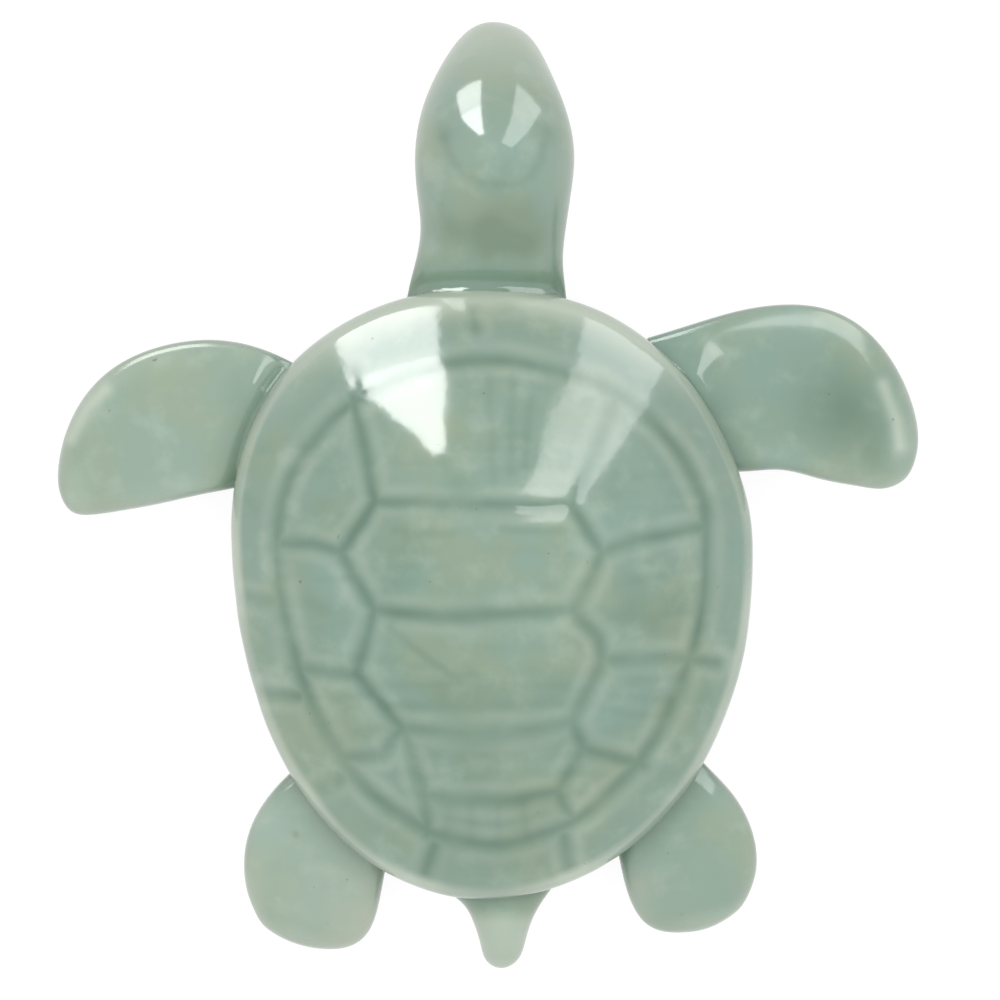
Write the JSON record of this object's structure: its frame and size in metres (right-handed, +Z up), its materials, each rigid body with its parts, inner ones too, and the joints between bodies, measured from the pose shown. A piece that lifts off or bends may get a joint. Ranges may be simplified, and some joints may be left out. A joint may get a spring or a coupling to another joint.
{
  "type": "turtle figurine",
  "caption": "Free-standing ceramic sea turtle ornament with a hollow domed shell carved in scutes, swept flippers, raised head and short tail, in glossy celadon glaze.",
  "frame": {"origin": "on the flat foot, below the widest line of the shell, on the shell's centre line", "axes": "+Y towards the head, +X towards the turtle's right, +Z up through the dome"},
  "size_m": [0.109, 0.1201, 0.0303],
  "materials": {
    "celadon_glaze": "glossy pale green celadon glaze, darker where it pools in grooves and seams"
  },
  "bodies": {
    "root": {"carapace": "celadon_glaze", "plastron": "celadon_glaze", "head": "celadon_glaze", "front_flipper_left": "celadon_glaze", "front_flipper_right": "celadon_glaze", "hind_flipper_left": "celadon_glaze", "hind_flipper_right": "celadon_glaze", "tail": "celadon_glaze"}
  },
  "joints": []
}
